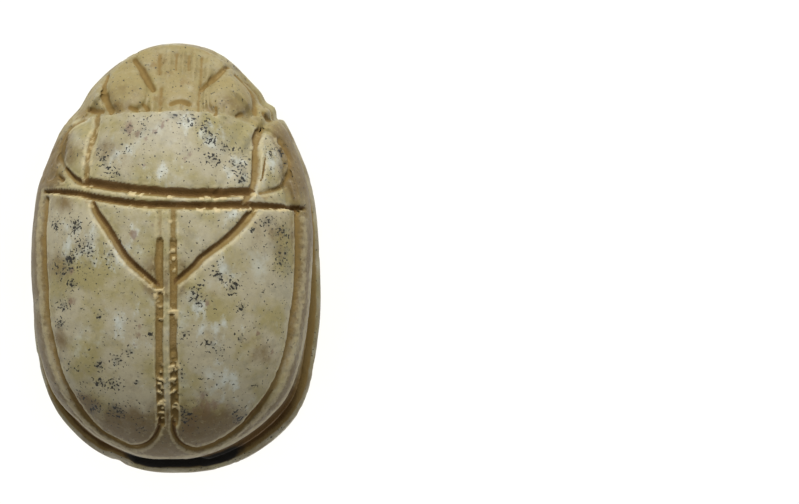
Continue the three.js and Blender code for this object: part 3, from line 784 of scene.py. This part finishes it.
def wear_and_marks(form, settings, cube, points, normals):
    """Cuts the lines into the placed points and works out what lies on the surface where"""
    top, bottom = top_and_bottom(cube)
    wall = ~top & ~bottom
    deep = millimetres(settings, "depth")
    depth, worn, dark, crumbed, stain = np.zeros((5, len(points)))
    for face, carving in zip((top, bottom), carvings(settings, points, top, bottom)):
        depth[face], worn[face], dark[face] = carving.depth, carving.worn, carving.dark
        crumbed[face], stain[face] = carving.crumbs, carving.stain
    in_seam = smooth(0.7, 0.6, np.abs(points[:, 0])) * (points[:, 1] < 2)
    crumbed *= 1 - in_seam * (1 - np.clip(1.5 * spots(points, RUBBLE), 0, 1))
    crumbed *= 1 - (1 - in_seam) * (1 - smooth(-0.5, 0.3, noise(points, 1.3, 15)))
    filled = np.clip(depth / deep, 0, 1)

    # Crumbs of stone left in the cuts, nibbled edges beside them, and a rubbed surface
    lump = 0.7 * noise(points, 0.2, 5) + 0.5 * noise(points, 0.11, 10)
    crumbs = crumbed * smooth(0.02, 0.3, lump)
    cut = depth * (1 - 0.3 * crumbs) - 0.05 * crumbs - 0.05 * filled * (0.5 + 0.5 * noise(points, 0.4, 12))
    cut += 0.03 * worn * (1 - filled) * smooth(0.1, 0.6, noise(points, 0.28, 11))
    cut += 0.025 * worn * (1 - filled) + 0.035 * (0.5 + 0.5 * noise(points, 2.2, 6))
    cut += 0.015 * (0.5 + 0.5 * noise(points, 0.55, 7)) + 0.03 * smooth(0.35, 0.7, noise(points, 0.3, 13))
    for angle, height, radius, chip in CHIPS:
        x, y = outline(math.radians(angle), 0.1)
        away = np.linalg.norm(points - (x, y, height), axis=1) + 0.12 * noise(points, 0.4, 8)
        cut += chip * smooth(radius, radius * 0.55, away)
    cut[bottom] = np.maximum(cut[bottom] - 0.03, 0)
    moved = points - normals * cut[:, None]
    moved[:, 2] = np.maximum(moved[:, 2], 0)  # nothing reaches below the base

    # How far inside the outline a point lies, in millimetres, and the parts of the stone it marks
    x, y, z = points.T
    degrees = degrees_round(x, y)
    inside = (1 - spread(x, y, unevenness(degrees))) * np.hypot(x, y - WIDEST_Y)
    plate = millimetres(form, "plate")
    rim_edge = wall * (cube[:, 2] > 0.8) * smooth(3.2, 3.6, z)
    # gap: the waist between the plate and the rim, under the rim's overhang. The ochre, umber and black laid
    # there below are painted shade, over a brown deposit.
    gap = wall * smooth(plate - 0.25, plate - 0.05, z) * (1 - rim_edge)
    gap *= 1 - 0.3 * smooth(-7, -5, y) - 0.45 * smooth(3, 6, y)
    tail_end = smooth(-6.6, -8.8, y)
    inwards = inside + 0.05 * noise(points, 0.5, 14)
    from_edge = 0.12 * tail_end
    below = rim_height(form, x, y) - z
    crack, flake_edge = (wall * flake(degrees, below, drop) for drop in (CRACK_DROP, FLAKE_DROP))
    # A thin pale line along the rim's ridge, strongest on the right below the middle and on the left near
    # the tail: a painted highlight, laid through the worn mark
    painted_ridge_highlight = np.exp(-(((inside - rim_inset(form, x, y)) / 0.1) ** 2)) * (top + rim_edge)
    painted_ridge_highlight *= 0.2 + 0.8 * np.where(x > 0, smooth(1.5, -1, y), smooth(-4, -5.5, y))
    ahead = smooth(-0.1, 0.15, y - thorax_front(x)) * top
    band = smooth(1.3, 0.8, inside) * smooth(7, 5, y)
    # Ochre in the waist, away from its edge: deposit and painted shade under the rim
    gap_deposit_and_shade = gap * smooth(from_edge, from_edge + 0.3, inwards)
    # Dark brown painted shade deep in the waist under the rim, strongest at the tail
    gap_painted_shade = gap * smooth(0.3, 0.55, inwards) * (0.5 + 0.5 * tail_end)
    # The stretch under the tail that gets the black painted shadow
    under_tail = tail_end * smooth(3.6, 2.2, np.abs(x - 0.5))
    cut_edges = worn * (1 - filled) * (1 - dark) * (1 - 0.6 * ahead)
    # Darker towards the tail, and along the sides near the outline where the back slopes away from the
    # light: dirt and painted shade
    painted_shade_and_dirt = 0.9 * smooth(-6.4, -9.4, y) + 0.8 * band
    speckled = 0.95 * spots(points, SPECKS) * smooth(-0.9, 0.3, noise(points, 0.5, 16))
    speckled_below = (wall | bottom) * (noise(points, 1.6, 9) > 0.1)
    marks = {
        # deposit: ochre in the cuts, and in the waist as deposit and painted shade under the rim
        "deposit": np.clip(np.maximum(stain, gap_deposit_and_shade), 0, 1),
        # umber: deposit and painted shade on the cut walls, deep in the waist, and in the crack
        "umber": np.clip(np.maximum(dark, gap_painted_shade + crack), 0, 1),
        # soot: black painted shadow in the undercut under the tail, round the cord hole's mouth
        "soot": gap * smooth(0.16, 0.34, inwards) * under_tail,
        # crumb: pale crumbs in the cuts, partly painted light on their lit slopes
        "crumb": crumbs,
        # worn: rubbed edges beside the cuts and on the flake, and the painted highlight along the rim's
        # ridge
        "worn": np.clip(np.maximum(cut_edges, np.maximum(painted_ridge_highlight, 0.7 * flake_edge)), 0, 1),
        "head": ahead,
        # grime: dirt patches, with painted shade at the tail, along the sides, on the walls and on the base
        "grime": np.clip(
            painted_shade_and_dirt * np.maximum(top, rim_edge) + 0.6 * spots(points, GRIME) * top + 0.4 * (wall | bottom),
            0, 1,
        ),
        "specks": (speckled + 2 * spots(points, PITS)) * top + 0.2 * speckled_below,
        "chalk": spots(points, CHALK) * top,
        "rust": spots(points, RUST) * top,
        "ochre": spots(points, OCHRE) * top,
    }
    return moved, marks


def bore(bm, form):
    """Opens the hole for the cord from the head's wall to the tail's"""
    radius, height = form.hole_radius, form.hole_height
    mouths = []
    for end in (-1, 1):
        inside = [
            face for face in bm.faces
            if face.normal.y * end > 0.3 and face.calc_center_median().y * end > 0
            and math.hypot(face.calc_center_median().x, face.calc_center_median().z - height) < radius
        ]
        bmesh.ops.delete(bm, geom=inside, context="FACES")
        rim = [e for e in bm.edges if e.is_boundary and e.verts[0].co.y * end > 0]
        for vertex in {v for e in rim for v in e.verts}:
            out = Vector((vertex.co.x, vertex.co.z - height)).normalized() * radius
            vertex.co.x, vertex.co.z = out.x, height + out.y
        mouths += rim
    walls = bmesh.ops.bridge_loops(bm, edges=mouths)["faces"]
    long_edges = list({e for f in walls for e in f.edges if e.calc_length() > 10 * MM})
    bmesh.ops.subdivide_edges(bm, edges=long_edges, cuts=7)


def new_piece(name, bm):
    mesh = bpy.data.meshes.new(name)
    bm.to_mesh(mesh)
    bm.free()
    piece = bpy.data.objects.new(name, mesh)
    bpy.context.scene.collection.objects.link(piece)
    return piece


def set_points(mesh, points):
    mesh.vertices.foreach_set("co", (points * MM).astype(np.float32).ravel())
    mesh.update()


class AMULET_OT_scarab(bpy.types.Operator):
    """Carve the beetle from one block"""

    bl_idname = "amulet.scarab"
    bl_label = "Scarab"

    def execute(self, context):
        form, settings = context.scene.amulet_form, context.scene.amulet_carving
        block = start_block(settings)
        refine(block, form, settings)
        cube = cube_points(block)
        piece = new_piece("carved_scarab", block)
        mesh = piece.data
        set_points(mesh, place_on_stone(form, cube))
        normals = np.empty(3 * len(cube), np.float32)
        mesh.vertices.foreach_get("normal", normals)
        points, marks = wear_and_marks(
            form, settings, cube, place_on_stone(form, cube), normals.reshape(-1, 3)
        )
        set_points(mesh, points)
        for name, values in marks.items():
            mark = mesh.attributes.new(name, "FLOAT", "POINT")
            mark.data.foreach_set("value", values.astype(np.float32))
        drilled = bmesh.new()
        drilled.from_mesh(mesh)
        bore(drilled, form)
        drilled.to_mesh(mesh)
        drilled.free()
        mesh.shade_smooth()
        mesh.materials.append(worn_steatite(context.scene.amulet_finish))
        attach(piece, "root")
        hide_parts("scarab")
        return {"FINISHED"}


# Finishes


def linear(hex_value):
    """An sRGB hex value as a linear colour"""
    parts = [int(hex_value[i:i + 2], 16) / 255 for i in (1, 3, 5)]
    return (*(c / 12.92 if c <= 0.04045 else ((c + 0.055) / 1.055) ** 2.4 for c in parts), 1)


def node(tree, kind, inputs=(), **settings):
    """Adds a node. Inputs are (socket, value or output of another node)"""
    made = tree.nodes.new(kind)
    for name, value in settings.items():
        setattr(made, name, value)
    for socket, value in inputs:
        if isinstance(value, bpy.types.NodeSocket):
            tree.links.new(value, made.inputs[socket])
        else:
            made.inputs[socket].default_value = value
    return made


# The skin, laid on the stone colour coat by coat. Each coat is a finish colour, the mark that says
# where it lies, or none, and its noise: size in millimetres, detail, how many times longer its
# lumps are from head to tail, and the turn of the noise behind them, in degrees. Then come how far
# the noise reaches either way when it is added to the mark, the sums at which the coat starts and
# is full, and how much of what lies below it a full coat covers.
COATS = (
    ("olive", None, 2.6, 4, 1, 0, 1, -0.4, 0.6, 1),
    ("ash", None, 1.5, 5, 1, 0, 1, 0.1, 1.1, 0.55),
    ("chalk", None, 1.9, 6, 1, 30, 1, 0.3, 1.2, 0.5),
    ("chalk", "chalk", 0.6, 7, 1.6, -35, 0.8, 0.5, 1.5, 0.85),
    ("rust", None, 1.1, 6, 2.4, -35, 1, 0.6, 1.3, 0.35),
    ("rust", "rust", 0.5, 5, 2, -30, 0.5, 0.4, 0.95, 0.7),
    ("wash", "head", 0.9, 5, 1, 0, 0.35, 0.4, 1.1, 0.85),
    ("ochre", "head", 0.5, 4, 3, 0, 0.5, 1.15, 1.6, 0.5),
    ("ochre", "ochre", 0.4, 5, 1.5, 0, 0.5, 0.45, 1, 0.6),
    # Grime: brown dirt and painted shade at the tail, along the sides, on the walls and the base
    ("grime", "grime", 1.1, 6, 1.2, 0, 0.4, 0.1, 1, 0.85),
    ("smoke", None, 0.75, 6, 1.4, 20, 1, 0.2, 1.3, 0.3),
    ("smoke", "specks", 0.4, 5, 1, 0, 0.4, 0.35, 1, 0.45),
    ("smoke", None, 0.22, 6, 1, 0, 1, 0.1, 1.3, 0.32),
    ("bone", None, 0.2, 6, 1, 0, 1, 0.2, 1.3, 0.3),
    ("speck", "specks", 0.13, 1, 1, 0, 1, 0.95, 1.06, 0.95),
    # Bone on the worn mark: rubbed edges, and the painted highlight along the rim's ridge
    ("bone", "worn", 0.3, 4, 1, 0, 0.35, 0.45, 1.1, 0.5),
    # Ochre: deposit in the cuts, and in the waist under the rim deposit and painted shade
    ("ochre", "deposit", 0.45, 4, 1, 0, 0.15, 0.1, 0.6, 0.9),
    ("tan", "deposit", 1.2, 4, 1, 0, 0.8, 1.1, 1.6, 0.6),
    # Umber: brown deposit and painted shade on the cut walls away from the light, deep in the waist, and in
    # the crack
    ("umber", "umber", 0.4, 4, 1, 0, 0.15, 0.2, 0.85, 0.92),
    # Crumb: pale crumbs in the cuts, partly painted light on their lit slopes
    ("crumb", "crumb", 0.2, 2, 1, 0, 0.1, 0.1, 0.8, 0.85),
    # Soot: the black painted shadow under the tail
    ("soot", "soot", 0.4, 3, 1, 0, 0.1, 0.1, 0.8, 1),
)


def worn_steatite(finish):
    """Soapstone rubbed smooth, its glaze gone to a satin skin with stains and mineral specks.

    The cuts hold a brown deposit, with painted shade on the walls that face away from the key light,
    which makes the carving read darker than its depth alone. Painted shade also darkens the waist
    under the rim, the tail and the sides, a black painted shadow lies under the tail, and a painted
    highlight runs along the rim's ridge.
    """
    material = bpy.data.materials.new("worn glazed steatite")
    material.use_nodes = True
    tree = material.node_tree
    tree.nodes.clear()
    place = node(tree, "ShaderNodeTexCoord").outputs["Object"]
    stone = node(tree, "ShaderNodeMapping", [("Vector", place), ("Scale", (1000, 1000, 1000))]).outputs[0]
    marks = {None: 0.0}
    for name in sorted({coat[1] for coat in COATS if coat[1]}):
        marks[name] = node(tree, "ShaderNodeAttribute", attribute_name=name).outputs["Fac"]
    skin, shares = linear(finish.stone), {}
    for i, (hue, mark, size, detail, stretch, turn, ragged, low, high, most) in enumerate(COATS):
        turned = node(tree, "ShaderNodeMapping", [
            ("Vector", stone), ("Location", (7 * i, 0, 0)), ("Rotation", (0, 0, math.radians(turn))),
            ("Scale", (1, 1 / stretch, 1)),
        ])
        lumps = node(tree, "ShaderNodeTexNoise", [
            ("Vector", turned.outputs[0]), ("Scale", 1 / size), ("Detail", detail), ("Roughness", 0.6),
        ])
        pattern = node(tree, "ShaderNodeMapRange", [
            ("Value", lumps.outputs["Fac"]), ("From Min", 0.3), ("From Max", 0.7), ("To Min", -ragged),
            ("To Max", ragged),
        ], clamp=False)
        total = node(tree, "ShaderNodeMath", [(0, pattern.outputs[0]), (1, marks[mark])], operation="ADD")
        share = node(tree, "ShaderNodeMapRange", [
            ("Value", total.outputs[0]), ("From Min", low), ("From Max", high), ("To Max", most),
        ], interpolation_type="SMOOTHSTEP")
        shares[hue] = share.outputs[0]
        coat = node(tree, "ShaderNodeMix", [
            (0, share.outputs[0]), (6, skin), (7, linear(getattr(finish, hue))),
        ], data_type="RGBA")
        skin = coat.outputs[2]

    # Height: a rubbed grain a tenth of a millimetre across, coarser in the cuts, and pits at the specks
    grain = node(tree, "ShaderNodeTexNoise", [("Vector", stone), ("Scale", 11.0), ("Detail", 5.0)])
    coarse = node(tree, "ShaderNodeMath", [
        (0, marks["deposit"]), (1, 0.8), (2, 0.3),
    ], operation="MULTIPLY_ADD")
    rough = node(tree, "ShaderNodeMath", [
        (0, grain.outputs["Fac"]), (1, coarse.outputs[0]),
    ], operation="MULTIPLY")
    height = node(tree, "ShaderNodeMath", [
        (0, shares["speck"]), (1, -0.35), (2, rough.outputs[0]),
    ], operation="MULTIPLY_ADD")
    bump = node(tree, "ShaderNodeBump", [
        ("Strength", 0.5), ("Distance", 0.00006), ("Height", height.outputs[0]),
    ])
    dullness = node(tree, "ShaderNodeMapRange", [
        ("Value", marks["deposit"]), ("From Min", 0.1), ("From Max", 0.6), ("To Min", 0.55), ("To Max", 0.9),
    ])
    surface = node(tree, "ShaderNodeBsdfPrincipled", [
        ("Base Color", skin), ("Roughness", dullness.outputs[0]), ("Normal", bump.outputs[0]),
        ("IOR", 1.5), ("Specular IOR Level", 0.35),
    ])
    node(tree, "ShaderNodeOutputMaterial", [("Surface", surface.outputs[0])])
    return material


def floor_paper(stage):
    """Matt card, pale enough to take the light without a tint of its own"""
    material = bpy.data.materials.new("matt card")
    material.use_nodes = True
    surface = material.node_tree.nodes["Principled BSDF"]
    surface.inputs["Base Color"].default_value = linear(stage.floor)
    surface.inputs["Roughness"].default_value = 0.9
    surface.inputs["Specular IOR Level"].default_value = 0.1
    return material


# Stage


def look_from(thing, eye, aim):
    thing.location = eye
    thing.rotation_euler = (Vector(aim) - Vector(eye)).to_track_quat("-Z", "Y").to_euler()


def sun(name, stage, seen_by, shadowed_by):
    """A wide, distant light that falls on one collection only"""
    light = bpy.data.lights.new(name, "SUN")
    light.energy = stage.key
    light.angle = stage.key_width
    lamp = bpy.data.objects.new(name, light)
    elevation = stage.key_elevation
    look_from(lamp, (0, math.cos(elevation), math.sin(elevation)), (0, 0, 0))
    bpy.context.scene.collection.objects.link(lamp)
    lamp.light_linking.receiver_collection = seen_by
    lamp.light_linking.blocker_collection = shadowed_by


def white_room(sky):
    """Even light from above, with a bright band low down that keeps the horizon white"""
    world = bpy.data.worlds.new("sky")
    world.use_nodes = True
    tree = world.node_tree
    way = node(tree, "ShaderNodeTexCoord").outputs["Generated"]
    rise = node(tree, "ShaderNodeSeparateXYZ", [(0, way)]).outputs["Z"]
    band = node(tree, "ShaderNodeMapRange", [
        ("Value", rise), ("From Min", 0.05), ("From Max", 0.12), ("To Min", 1.1), ("To Max", sky),
    ]).outputs[0]
    background = tree.nodes["Background"]
    background.inputs["Color"].default_value = (1, 1, 1, 1)
    tree.links.new(band, background.inputs["Strength"])
    return world


class AMULET_OT_stage(bpy.types.Operator):
    """Lay the floor and set the camera and lights"""

    bl_idname = "amulet.stage"
    bl_label = "Stage"

    def execute(self, context):
        scene = context.scene
        stage = scene.amulet_stage
        camera = bpy.data.objects.new("camera", bpy.data.cameras.new("camera"))
        camera.data.lens = stage.focal
        camera.data.clip_start = 0.01
        look_from(camera, stage.eye, stage.aim)
        scene.collection.objects.link(camera)
        scene.camera = camera

        bm = bmesh.new()
        bmesh.ops.create_grid(bm, x_segments=4, y_segments=4, size=1.5)
        floor = new_piece("floor", bm)
        floor.data.materials.append(floor_paper(stage))

        # The stone takes the key light with its shadows, and the floor takes it without
        stone, ground = bpy.data.collections.new("stone"), bpy.data.collections.new("ground")
        for piece in scene.objects:
            if piece.type == "MESH":
                (ground if piece == floor else stone).objects.link(piece)
        sun("key", stage, stone, stone)
        sun("floor wash", stage, ground, ground)
        scene.world = white_room(stage.sky)
        scene.view_settings.view_transform = "Standard"
        return {"FINISHED"}


class AMULET_PT_panel(bpy.types.Panel):
    """The amulet's pieces, in the sidebar of the 3D view"""

    bl_idname = "AMULET_PT_panel"
    bl_label = "Scarab amulet"
    bl_space_type = "VIEW_3D"
    bl_region_type = "UI"
    bl_category = "Amulet"

    def draw(self, context):
        for group in (context.scene.amulet_form, context.scene.amulet_carving):
            column = self.layout.column()
            for name in group.__annotations__:
                column.prop(group, name)
        self.layout.operator("amulet.scarab")
        for group in (context.scene.amulet_finish, context.scene.amulet_stage):
            column = self.layout.column()
            for name in group.__annotations__:
                column.prop(group, name)
        self.layout.operator("amulet.stage")


GROUPS = {
    "amulet_form": AmuletForm,
    "amulet_carving": AmuletCarving,
    "amulet_finish": AmuletFinish,
    "amulet_stage": AmuletStage,
}
CLASSES = (*GROUPS.values(), AMULET_OT_scarab, AMULET_OT_stage, AMULET_PT_panel)


def register():
    for cls in CLASSES:
        bpy.utils.register_class(cls)
    for name, group in GROUPS.items():
        setattr(bpy.types.Scene, name, PointerProperty(type=group))


def unregister():
    for name in GROUPS:
        delattr(bpy.types.Scene, name)
    for cls in reversed(CLASSES):
        bpy.utils.unregister_class(cls)


def main():
    register()
    bpy.ops.amulet.scarab()
    bpy.ops.amulet.stage()


if __name__ == "__main__":
    main()
